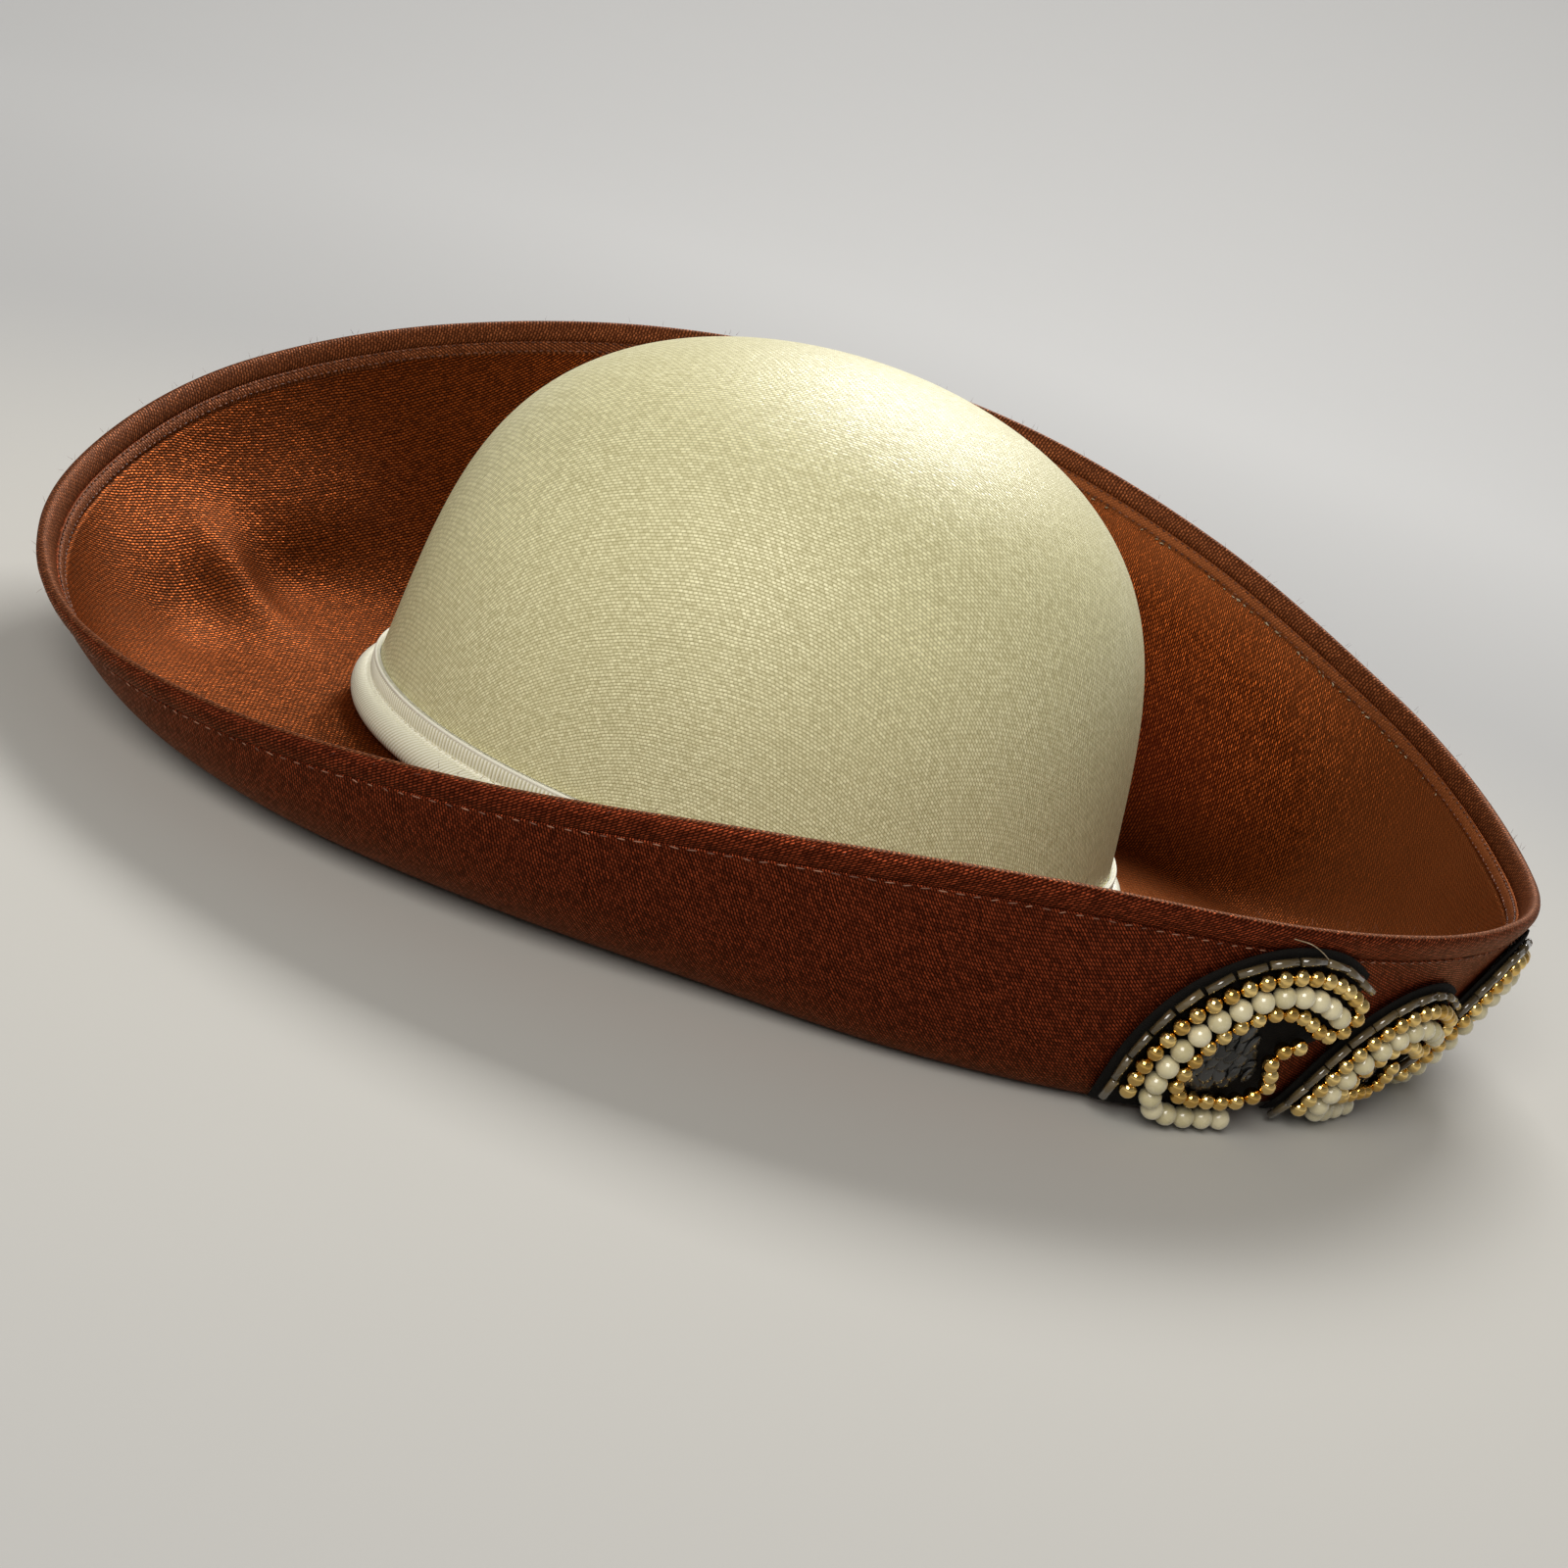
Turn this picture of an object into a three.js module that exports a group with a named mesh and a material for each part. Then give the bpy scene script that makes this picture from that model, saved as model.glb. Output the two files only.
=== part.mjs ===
import * as THREE from "three";

// A church hat in millimetres: front -Y, wearer's left +X, up +Z.
const gap = 0.3;
const brimSections = 56;
const headSections = 32;

const head = { halfLength: 96.4, halfWidth: 82.4 };
const crown = { wall: 2.0, foot: 6.0, straightTo: 18.5, top: 122.5, taper: 0.134 };
const band = { flange: 1.3, top: 18.5, rollOut: 2.6, rollUp: 3.6 };
const brim = { wall: 2.2, drop: 3.5, strip: 7 };
const binding = { height: 6, halfThick: 1.5 };
const felt = { lift: 0.7, thick: 1.0, border: 10.4, low: 3.8 };
const pearl = { radius: 2.5, sides: 10 };
const gold = { radius: 2.0, offset: 4.9, aside: 1.9 };
const bugle = { radius: 0.9, offset: 8.4 };
const sequins = { thick: 1.2, inset: 7.5 };

// The brim's upper edge is an oval, longer towards the front than towards the back.
const brimEdge = { front: 200, back: 186, side: 150 };

// Brim sections every 22.5 degrees from the front towards the wearer's left.
// floor: where the wall starts, swell: how far its edge stands out past the oval, rise: the edge's height,
// slope: steepness there, round: length of the soft turn at the foot as a share of the wall's spread.
const brimTable = [
  { floor: 158, swell: 0, rise: 52, slope: 70, round: 0.6 },
  { floor: 140, swell: 0, rise: 68, slope: 70, round: 0.5 },
  { floor: 116, swell: -1, rise: 88, slope: 70, round: 0.45 },
  { floor: 101, swell: -1, rise: 100, slope: 70, round: 0.4 },
  { floor: 97, swell: 0, rise: 102, slope: 70, round: 0.36 },
  { floor: 99, swell: 1, rise: 96, slope: 68, round: 0.36 },
  { floor: 103, swell: 1, rise: 82, slope: 62, round: 0.36 },
  { floor: 107, swell: 0, rise: 62, slope: 54, round: 0.36 },
  { floor: 111, swell: 0, rise: 38, slope: 50, round: 0.5 },
  { floor: 120, swell: 0, rise: 26, slope: 50, round: 0.6 },
  { floor: 117, swell: 1, rise: 29, slope: 58, round: 0.6 },
  { floor: 109, swell: 1, rise: 38, slope: 66, round: 0.55 },
  { floor: 110, swell: 0, rise: 48, slope: 70, round: 0.6 },
  { floor: 126, swell: 2, rise: 55, slope: 74, round: 0.7 },
  { floor: 146, swell: 4, rise: 55, slope: 74, round: 0.75 },
  { floor: 158, swell: 1, rise: 53, slope: 72, round: 0.7 },
];

// Soft folds pressed into the wall: where, as a turn and a share of its height,
// how far they spread each way, and how far they lift inwards.
const foldTable = [
  { turn: 178, spread: 5, share: 0.8, tall: 0.25, lift: 2.6 },
  { turn: 169, spread: 5, share: 0.5, tall: 0.25, lift: 3.6 },
  { turn: 179, spread: 6, share: 0.4, tall: 0.2, lift: -3.0 },
  { turn: 159, spread: 6, share: 0.45, tall: 0.28, lift: -2.4 },
];

// Middle line of a scroll lobe, from its foot around to its tip, and the short stem at its open side.
const lobeLine = [
  { along: 38, height: 6.6 },
  { along: 29, height: 6.6 },
  { along: 20.6, height: 7.2 },
  { along: 14.6, height: 11.6 },
  { along: 12.8, height: 20.3 },
  { along: 15.2, height: 29.4 },
  { along: 20.6, height: 36.2 },
  { along: 28, height: 40.6 },
  { along: 37, height: 40.6 },
  { along: 45.8, height: 36.3 },
];
const stemLine = [
  { along: 39.4, height: 13.2 },
  { along: 41, height: 16.2 },
  { along: 39.2, height: 19.4 },
  { along: 36.8, height: 22.6 },
  { along: 37.2, height: 26 },
  { along: 41, height: 27.6 },
];
const openSide = [
  { along: 45, height: 4.4 },
  { along: 45, height: 10.3 },
  { along: 44.6, height: 15.6 },
  { along: 42.8, height: 20 },
  { along: 41.4, height: 23.2 },
  { along: 45, height: 25.2 },
  { along: 53.4, height: 30.2 },
];
const lobes = [
  { turn: 303.1, wide: 1.0, tall: 1.0, reach: 166, stem: 1 },
  { turn: 321.6, wide: 0.8, tall: 0.7, reach: 175, stem: 0.66 },
  { turn: 336.8, wide: 0.9, tall: 0.86, reach: 189, stem: 0.92 },
];
const lobeFoot = 6.6;

function ovalReach(turn, halfLength, halfWidth) {
  return 1 / Math.hypot(Math.cos(turn) / halfLength, Math.sin(turn) / halfWidth);
}

function headReach(turn, grow) {
  return ovalReach(turn, head.halfLength + grow, head.halfWidth + grow);
}

function place(turn, reach, height) {
  return new THREE.Vector3(reach * Math.sin(turn), -reach * Math.cos(turn), height);
}

function fullTurn(count) {
  return Array.from({ length: count }, (_, i) => (i / count) * 2 * Math.PI);
}

// A smooth value of every column of the brim table at any turn, and the edge's reach there.
function brimAt(turn) {
  const count = brimTable.length;
  const at = ((turn / (2 * Math.PI)) * count + count) % count;
  const first = Math.floor(at);
  const row = {};
  for (const key of Object.keys(brimTable[0])) {
    const near = [-1, 0, 1, 2].map((step) => brimTable[(first + step + count) % count][key]);
    const curve = new THREE.SplineCurve(near.map((value, i) => new THREE.Vector2(i, value)));
    row[key] = curve.getPoint((1 + at - first) / 3).y;
  }
  const halfLength = Math.cos(turn) > 0 ? brimEdge.front : brimEdge.back;
  row.edge = ovalReach(turn, halfLength, brimEdge.side) + row.swell;
  return row;
}

function foldLift(turn, share) {
  const degrees = THREE.MathUtils.radToDeg(turn);
  return foldTable.reduce((sum, fold) => {
    const around = (degrees - fold.turn) / fold.spread;
    const up = (share - fold.share) / fold.tall;
    return sum + fold.lift * Math.exp(-0.5 * (around * around + up * up));
  }, 0) * Math.sin(Math.PI * share);
}

// A closed skin over rows of points. A ring of rows joins its last row to its first;
// otherwise the first and last rows are closed with a fan.
function skin(rows, ring) {
  const wide = rows[0].length;
  const points = rows.flat();
  const faces = [];
  const last = ring ? rows.length : rows.length - 1;
  for (let i = 0; i < last; i += 1) {
    for (let j = 0; j < wide; j += 1) {
      const a = i * wide + j;
      const b = i * wide + ((j + 1) % wide);
      const c = ((i + 1) % rows.length) * wide + j;
      const d = ((i + 1) % rows.length) * wide + ((j + 1) % wide);
      faces.push([a, b, d], [a, d, c]);
    }
  }
  if (!ring) {
    for (const [row, turned] of [[0, true], [rows.length - 1, false]]) {
      const middle = rows[row].reduce((sum, p) => sum.add(p), new THREE.Vector3()).divideScalar(wide);
      const at = points.push(middle) - 1;
      for (let j = 0; j < wide; j += 1) {
        const pair = [row * wide + j, row * wide + ((j + 1) % wide)];
        faces.push(turned ? [at, pair[1], pair[0]] : [at, pair[0], pair[1]]);
      }
    }
  }
  let volume = 0;
  for (const [a, b, c] of faces) {
    volume += points[a].dot(new THREE.Vector3().crossVectors(points[b], points[c]));
  }
  const shape = new THREE.BufferGeometry().setFromPoints(points);
  shape.setIndex(faces.flatMap(([a, b, c]) => (volume > 0 ? [a, b, c] : [a, c, b])));
  shape.computeVertexNormals();
  return shape;
}

// The outer line of the brim at one turn: sloping floor, flat strip, soft turn, wall.
// Each point has its normal, which points into the hat.
function brimLine(turn, steps) {
  const row = brimAt(turn);
  const slope = THREE.MathUtils.degToRad(row.slope);
  const along = new THREE.Vector2(Math.cos(slope), Math.sin(slope));
  const inward = new THREE.Vector2(-along.y, along.x);
  const edge = new THREE.Vector2(row.edge, row.rise);
  const top = edge.clone().addScaledVector(along, -binding.height - gap);
  top.addScaledVector(inward, -brim.wall / 2);
  const foot = new THREE.Vector2(row.floor, 0);
  const wall = new THREE.CubicBezierCurve(
    foot,
    new THREE.Vector2(row.floor + row.round * (row.edge - row.floor), 0),
    top.clone().addScaledVector(along, -0.35 * top.distanceTo(foot)),
    top,
  );
  const flat = new THREE.Vector2(0, 1);
  const line = [
    { at: new THREE.Vector2(headReach(turn, 0), brim.drop), normal: flat },
    { at: new THREE.Vector2(Math.max(row.floor - brim.strip, headReach(turn, 6)), 0), normal: flat },
  ];
  for (let i = 0; i <= steps; i += 1) {
    const way = wall.getTangent(i / steps);
    const normal = new THREE.Vector2(-way.y, way.x);
    const lift = foldLift(turn, i / steps);
    line.push({ at: wall.getPoint(i / steps).addScaledVector(normal, lift), normal });
  }
  return { line, along, top };
}

function brimShape() {
  const rows = fullTurn(brimSections).map((turn) => {
    const { line } = brimLine(turn, 7);
    const under = line.map(({ at }) => place(turn, at.x, at.y));
    const upper = line.map(({ at, normal }) => (
      place(turn, at.x + normal.x * brim.wall, at.y + normal.y * brim.wall)
    ));
    return [...under, ...upper.reverse()];
  });
  return skin(rows, true);
}

// The rolled hem stands on the brim's edge as a rounded strip.
function bindingShape() {
  const round = binding.halfThick;
  const section = [
    [gap, -round], [binding.height - round, -round], [binding.height - 0.3 * round, -0.71 * round],
    [binding.height + gap, 0],
    [binding.height - 0.3 * round, 0.71 * round], [binding.height - round, round], [gap, round],
  ];
  const rows = fullTurn(brimSections).map((turn) => {
    const { line, along, top } = brimLine(turn, 7);
    const { normal } = line[line.length - 1];
    const lift = brim.wall / 2;
    return section.map(([up, out]) => place(
      turn,
      top.x + along.x * up + normal.x * (out + lift),
      top.y + along.y * up + normal.y * (out + lift),
    ));
  });
  return skin(rows, true);
}

// Crown: a straight foot, then a full dome; the same line taken in by the wall makes its inside.
function crownLine(shrink) {
  const height = crown.top - shrink - crown.straightTo;
  const line = [[1, crown.foot], [1, crown.straightTo]];
  line.push([Math.sqrt(1 - 0.38 ** 4) * (1 - crown.taper * 0.38), crown.straightTo + 0.38 * height]);
  for (let angle = 18; angle < 90; angle += 11.5) {
    const turned = THREE.MathUtils.degToRad(angle);
    const rise = Math.sqrt(Math.sin(turned));
    line.push([Math.cos(turned) * (1 - crown.taper * rise), crown.straightTo + rise * height]);
  }
  return line;
}

function crownShape() {
  const turns = fullTurn(headSections);
  const ringOf = ([share, height], grow) => (
    turns.map((turn) => place(turn, share * headReach(turn, grow), height))
  );
  const outer = crownLine(0).map((step) => ringOf(step, crown.wall));
  const inner = crownLine(crown.wall).map((step) => ringOf(step, 0));
  return skin([...inner.reverse(), ...outer], false);
}

// Band: a flat flange against the crown with a fat roll at its foot.
function bandShape() {
  const face = crown.wall + gap;
  const base = brim.drop + brim.wall + gap;
  const middle = { out: face + band.rollOut, up: base + band.rollUp };
  const section = [[face, band.top], [face, base + 1.2]];
  for (let angle = -110; angle <= 110; angle += 27.5) {
    const turned = THREE.MathUtils.degToRad(angle);
    section.push([
      middle.out + band.rollOut * Math.cos(turned),
      middle.up + band.rollUp * Math.sin(turned),
    ]);
  }
  section.push([face + band.flange, middle.up + band.rollUp + 0.5], [face + band.flange, band.top]);
  const rows = fullTurn(headSections).map((turn) => (
    section.map(([out, up]) => place(turn, headReach(turn, out), up))
  ));
  return skin(rows, true);
}

// A point on the outside of the brim's wall, raised off it by lift.
function wallPoint(turn, height) {
  const { line } = brimLine(turn, 24);
  const found = line.findIndex(({ at }, i) => i > 2 && at.y >= height);
  const above = found < 0 ? line.length - 1 : found;
  const [low, high] = [line[above - 1].at, line[above].at];
  const share = (height - low.y) / (high.y - low.y);
  return place(turn, low.x + share * (high.x - low.x), height);
}

function onWall(turn, height, lift) {
  const at = wallPoint(turn, height);
  const across = wallPoint(turn + 0.01, height).sub(at);
  const up = wallPoint(turn, height + 0.5).sub(at);
  return at.addScaledVector(new THREE.Vector3().crossVectors(across, up).normalize(), lift);
}

function flatCurve(table, { wide, tall }) {
  return new THREE.SplineCurve(table.map(({ along, height }) => (
    new THREE.Vector2(along * wide, lobeFoot + (height - lobeFoot) * tall)
  )));
}

function offsetPoint(curve, share, offset) {
  const at = curve.getPointAt(share);
  const way = curve.getTangentAt(share);
  return new THREE.Vector2(at.x - way.y * offset, Math.max(felt.low, at.y + way.x * offset));
}

function shares(from, to, count) {
  return Array.from({ length: count + 1 }, (_, i) => from + ((to - from) * i) / count);
}

function lobeShapes(lobe) {
  const line = flatCurve(lobeLine, lobe);
  const start = THREE.MathUtils.degToRad(lobe.turn);
  const seat = (point, lift) => onWall(start + point.x / lobe.reach, point.y, lift);
  const onFelt = felt.lift + felt.thick + gap;
  const pathOf = (points, lift) => new THREE.CatmullRomCurve3(points.map((point) => seat(point, lift)));

  // Tube along a path.
  const tube = (path, radius, steps) => {
    const section = new THREE.Shape(shares(0, 7, 7).map((i) => new THREE.Vector2(
      radius * Math.cos((i / 8) * 2 * Math.PI),
      radius * Math.sin((i / 8) * 2 * Math.PI),
    )));
    return new THREE.ExtrudeGeometry(section, { steps, extrudePath: path, bevelEnabled: false });
  };

  // String of round beads that touch, along a path.
  const beads = (path, { radius, sides }) => {
    const count = Math.round(path.getLength() / (2 * radius));
    const belly = [[0, 0.45], [0.3, 0.95], [0.7, 0.95]];
    const rings = Array.from({ length: count }, (_, i) => (
      belly.map(([step, swell]) => [(i + step) / count, swell * radius])
    )).flat();
    rings.push([1, 0.45 * radius]);
    const frames = path.computeFrenetFrames(count * belly.length, false);
    return skin(rings.map(([share, reach], i) => {
      const at = path.getPointAt(share);
      return shares(0, sides - 1, sides - 1).map((j) => {
        const turned = (j / sides) * 2 * Math.PI;
        return at.clone()
          .addScaledVector(frames.normals[i], reach * Math.cos(turned))
          .addScaledVector(frames.binormals[i], reach * Math.sin(turned));
      });
    }), false);
  };

  // Sheet on the wall between two edges, some points wide.
  const sheet = (edges, low, thick) => skin(edges.map(([from, to]) => {
    const across = shares(0, 1, 6).map((share) => from.clone().lerp(to, share));
    const under = across.map((point) => seat(point, low));
    const upper = across.map((point) => seat(point, low + thick));
    return [...under, ...upper.reverse()];
  }), false);

  const tip = line.getPointAt(1);
  const way = line.getTangentAt(1);
  const aside = new THREE.Vector2(-way.y, way.x);
  const turnBack = shares(15, 165, 5).map((angle) => {
    const turned = THREE.MathUtils.degToRad(angle);
    return tip.clone()
      .addScaledVector(aside, gold.offset * Math.cos(turned))
      .addScaledVector(way, pearl.radius * 0.4 + gold.offset * Math.sin(turned));
  });
  const stem = flatCurve(stemLine, lobe);
  const goldPath = [
    ...shares(0.34, 0.98, 9).map((share) => offsetPoint(line, share, gold.offset)),
    ...turnBack,
    ...shares(0.98, 0.04, 13).map((share) => offsetPoint(line, share, -gold.offset)),
    ...shares(0, lobe.stem, 5).map((share) => stem.getPointAt(share)),
  ];
  const buglePath = shares(0.32, 1, 9).map((share) => offsetPoint(line, share, bugle.offset));
  const pearlPath = shares(0, 1, 12).map((share) => line.getPointAt(share));
  const openEdge = flatCurve(openSide, lobe);
  const feltEdges = shares(0, 1, 9).map((share) => (
    [offsetPoint(line, share, felt.border), openEdge.getPointAt(share)]
  ));
  const fieldEdges = shares(0, 1, 5).map((share) => [
    offsetPoint(line, 0.16 + 0.52 * share, -sequins.inset),
    stem.getPointAt(0.24 + 0.46 * share).add(new THREE.Vector2(-gold.radius - gold.aside, 0)),
  ]);
  return {
    backing: sheet(feltEdges, felt.lift, felt.thick),
    bugles: tube(pathOf(buglePath, onFelt + bugle.radius), bugle.radius, 12),
    gold: tube(pathOf(goldPath, onFelt + gold.radius), gold.radius, 40),
    pearls: beads(pathOf(pearlPath, onFelt + pearl.radius), pearl),
    sequins: sheet(fieldEdges, onFelt, sequins.thick),
  };
}

const looks = {
  ivorySatin: { color: "#e9dcc0", roughness: 0.42, metalness: 0 },
  brownSatin: { color: "#7a3a1c", roughness: 0.4, metalness: 0 },
  blackFelt: { color: "#17130f", roughness: 0.9, metalness: 0 },
  smokyGlass: { color: "#3a2a1d", roughness: 0.15, metalness: 0 },
  goldBead: { color: "#b98a3c", roughness: 0.22, metalness: 1 },
  creamPearl: { color: "#efe4cb", roughness: 0.2, metalness: 0 },
  blackSequin: { color: "#14151a", roughness: 0.18, metalness: 0 },
};

const group = new THREE.Group();
group.name = "church_hat";

function add(name, shape, look) {
  const piece = new THREE.Mesh(shape, new THREE.MeshStandardMaterial(looks[look]));
  piece.name = name;
  group.add(piece);
}

add("crown", crownShape(), "ivorySatin");
add("crown_band", bandShape(), "ivorySatin");
add("brim", brimShape(), "brownSatin");
add("edge_binding", bindingShape(), "brownSatin");
lobes.forEach((lobe, i) => {
  const shapes = lobeShapes(lobe);
  add(`scroll_backing_${i + 1}`, shapes.backing, "blackFelt");
  add(`bugle_row_${i + 1}`, shapes.bugles, "smokyGlass");
  add(`gold_row_${i + 1}`, shapes.gold, "goldBead");
  add(`pearl_row_${i + 1}`, shapes.pearls, "creamPearl");
  add(`sequin_field_${i + 1}`, shapes.sequins, "blackSequin");
});

// The hat stands on the ground with the middle of its length and width over the origin.
const box = new THREE.Box3().setFromObject(group, true);
const middle = box.getCenter(new THREE.Vector3());
for (const piece of group.children) {
  piece.geometry.translate(-middle.x, -middle.y, -box.min.z);
}

export default group;
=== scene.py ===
import bpy
import math
import numpy as np
from mathutils import Matrix, Vector


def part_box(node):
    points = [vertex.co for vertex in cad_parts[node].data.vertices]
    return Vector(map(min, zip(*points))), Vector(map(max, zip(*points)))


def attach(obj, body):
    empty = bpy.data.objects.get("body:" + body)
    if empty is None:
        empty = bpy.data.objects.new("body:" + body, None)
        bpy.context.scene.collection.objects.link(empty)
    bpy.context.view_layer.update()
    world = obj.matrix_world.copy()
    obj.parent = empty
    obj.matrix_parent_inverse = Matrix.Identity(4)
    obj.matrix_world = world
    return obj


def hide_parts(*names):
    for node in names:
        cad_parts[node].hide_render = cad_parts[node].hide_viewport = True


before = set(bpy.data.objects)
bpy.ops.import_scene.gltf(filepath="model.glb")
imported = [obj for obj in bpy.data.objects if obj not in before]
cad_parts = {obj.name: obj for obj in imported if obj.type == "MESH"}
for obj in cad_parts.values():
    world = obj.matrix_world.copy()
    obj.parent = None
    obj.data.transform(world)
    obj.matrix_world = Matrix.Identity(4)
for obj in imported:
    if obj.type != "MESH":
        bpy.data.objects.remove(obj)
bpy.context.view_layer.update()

mm = 0.001
crownLow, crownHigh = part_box("crown")
hatAxis = np.array([(crownLow.x + crownHigh.x) / 2, (crownLow.y + crownHigh.y) / 2, 0]) / mm
fullTurn = 2 * math.pi


# Writing nodes

class Wire:
    def __init__(self, board, socket):
        self.board = board
        self.socket = socket

    def math(self, operation, *values):
        return self.board.node("ShaderNodeMath", {"operation": operation}, dict(enumerate(values)))

    def side(self, name):
        return Wire(self.board, self.socket.node.outputs[name])

    def __add__(self, other):
        return self.math("ADD", self, other)

    def __sub__(self, other):
        return self.math("SUBTRACT", self, other)

    def __rsub__(self, other):
        return self.math("SUBTRACT", other, self)

    def __mul__(self, other):
        return self.math("MULTIPLY", self, other)

    def __truediv__(self, other):
        return self.math("DIVIDE", self, other)

    def __pow__(self, other):
        return self.math("POWER", self, other)

    __radd__ = __add__
    __rmul__ = __mul__

    def floor(self):
        return self.math("FLOOR", self)

    def fract(self):
        return self.math("FRACT", self)

    def wave(self):
        return self.math("SINE", self * math.pi)


class Board:
    def __init__(self, tree):
        self.tree = tree

    def node(self, kind, settings=None, sockets=None, out=0):
        made = self.tree.nodes.new(kind)
        for name, value in (settings or {}).items():
            setattr(made, name, value)
        for name, value in (sockets or {}).items():
            if isinstance(value, Wire):
                self.tree.links.new(value.socket, made.inputs[name])
            else:
                made.inputs[name].default_value = value
        return Wire(self, made.outputs[out]) if made.outputs else None

    def mix(self, share, first, second):
        return self.node("ShaderNodeMix", {"data_type": "RGBA"}, {0: share, 6: first, 7: second}, out=2)

    def noise(self, where, scale, detail=2.0):
        return self.node("ShaderNodeTexNoise", None, {"Vector": where, "Scale": scale, "Detail": detail})

    def grain(self, scale, detail):    # noise in the object's own space
        return self.noise(self.node("ShaderNodeTexCoord", out="Object"), scale, detail)

    def field(self, name):    # a value stored on the mesh
        return self.node("ShaderNodeAttribute", {"attribute_name": name}, out="Fac")

    def named(self, name, kind="FLOAT"):    # the same in a tree of Geometry Nodes
        return self.node("GeometryNodeInputNamedAttribute", {"data_type": kind}, {"Name": name})

    def bump(self, height, strength, depth):    # depth in millimetres
        sockets = {"Height": height, "Strength": strength, "Distance": depth * mm}
        return self.node("ShaderNodeBump", None, sockets)

    def spread(self, value, low, high):    # value 0..1 to low..high
        return value * (high - low) + low


def newMaterial(name, sockets):
    material = bpy.data.materials.new(name)
    material.use_nodes = True
    material.node_tree.nodes.clear()
    board = Board(material.node_tree)
    shader = board.node("ShaderNodeBsdfPrincipled", None, sockets(board))
    board.node("ShaderNodeOutputMaterial", None, {"Surface": shader})
    return material


# Finishes

def weave(board, look):
    # floats of yarn in staggered rows, on the cloth's own flat map in millimetres
    flat = board.node("ShaderNodeUVMap", {"uv_map": "cloth"})
    sway = board.noise(flat, look["swayScale"])
    ripple = board.noise(flat, look["rippleScale"], 1.0)
    turned = board.node("ShaderNodeVectorRotate", {"rotation_type": "Z_AXIS"},
                        {"Vector": flat, "Angle": math.radians(look["grain"])})
    part = board.node("ShaderNodeSeparateXYZ", None, {0: turned})
    y = part.side("Y") / look["yarn"] + sway * look["sway"] + ripple * look["ripple"]
    row = y.floor()
    x = part.side("X") / look["float"] + row * look["stagger"]
    cell = board.node("ShaderNodeCombineXYZ", None, {"X": x.floor(), "Y": row})
    tone = board.node("ShaderNodeTexWhiteNoise", {"noise_dimensions": "2D"}, {"Vector": cell})
    hump = (x.fract().wave() ** look["blunt"]) * (y.fract().wave() ** look["narrow"])
    drawn = board.node("ShaderNodeCombineXYZ", None,
                       {"X": part.side("X") * look["slubAlong"], "Y": y * look["yarn"] * look["slubAcross"]})
    slub = board.node("ShaderNodeMapRange", None, {
        "Value": board.noise(drawn, 1.0, 2.0), "From Min": 0.28, "From Max": 0.72})
    return flat, hump, tone, slub


def satin(look):
    def sockets(board):
        flat, hump, tone, slub = weave(board, look)
        drift = board.noise(flat, look["driftScale"], 3.0)
        lit = board.spread(slub, 1 - look["slub"], 1 + look["slub"])
        # floats painted bright and the gaps between them near black: the yarn's own pattern with painted
        # glints on the floats and painted shade in the gaps
        shine = hump * board.spread(tone, look["dull"], 1.0) * lit
        cloth = board.mix(shine, look["deep"], look["bright"])
        fadeAndPaintedLight = board.mix(board.spread(drift, -0.1, 0.9) * look["drift"], cloth, look["faded"])
        # painted light and painted shade from the field on the mesh: towards the paler colour where it is
        # above zero, towards the shade colour where it is below
        paintedLight = board.field("paintedLight")
        fadeAndPaintedLight = board.mix(paintedLight * board.spread(drift, 0.5, 1.2), fadeAndPaintedLight, look["paintedLight"])
        fadeAndPaintedLight = board.mix(paintedLight * -1, fadeAndPaintedLight, look["shade"])
        height = hump * board.spread(tone, 0.6, 1.0) + slub * 0.8
        return {
            "Base Color": fadeAndPaintedLight,
            "Metallic": look["metal"],
            "Roughness": board.spread(1 - hump * tone, look["gloss"], look["matt"]),
            "Normal": board.bump(height, look["relief"], look["depth"]),
            "Specular IOR Level": look["specular"],
            "Specular Tint": look["tint"],
            "Sheen Weight": look["sheen"],
            "Sheen Roughness": 0.45,
            "Sheen Tint": look["tint"],
        }
    return sockets


brownSatinLook = {
    "deep": (0.006, 0.0006, 0.0001, 1), "bright": (0.40, 0.083, 0.0135, 1), "faded": (0.085, 0.013, 0.002, 1),
    "tint": (1.0, 0.68, 0.46, 1), "yarn": 0.78, "float": 1.7, "stagger": 0.39, "blunt": 0.7, "narrow": 2.0,
    "grain": 31, "sway": 3.0, "swayScale": 0.02, "ripple": 1.1, "rippleScale": 0.14, "drift": 0.18,
    "driftScale": 0.035, "slub": 0.28, "slubAlong": 0.5, "slubAcross": 1.0, "dull": 0.42, "gloss": 0.24,
    # this line holds the painted light and painted shade colours
    "matt": 0.52, "paintedLight": (0.30, 0.088, 0.025, 1), "shade": (0.04, 0.0025, 0.0005, 1), "metal": 0.62,
    "relief": 1.0, "depth": 0.1, "specular": 0.09, "sheen": 0.0}
hemSatinLook = {
    **brownSatinLook, "deep": (0.03, 0.006, 0.0014, 1), "bright": (0.35, 0.105, 0.036, 1),
    "faded": (0.15, 0.038, 0.011, 1), "yarn": 0.95, "float": 1.2, "grain": 78, "metal": 0.3, "gloss": 0.35}
# outer copy of the brown satin: a finer weave, bluer tones as a painted reflection of the pale room, and
# floats that vary more in brightness as painted glints
outerSatinPaintedSheenLook = {
    **brownSatinLook, "deep": (0.010, 0.0009, 0.0004, 1), "bright": (0.45, 0.082, 0.028, 1),
    "faded": (0.085, 0.011, 0.004, 1), "dull": 0.3, "yarn": 0.64, "float": 1.25}
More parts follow.
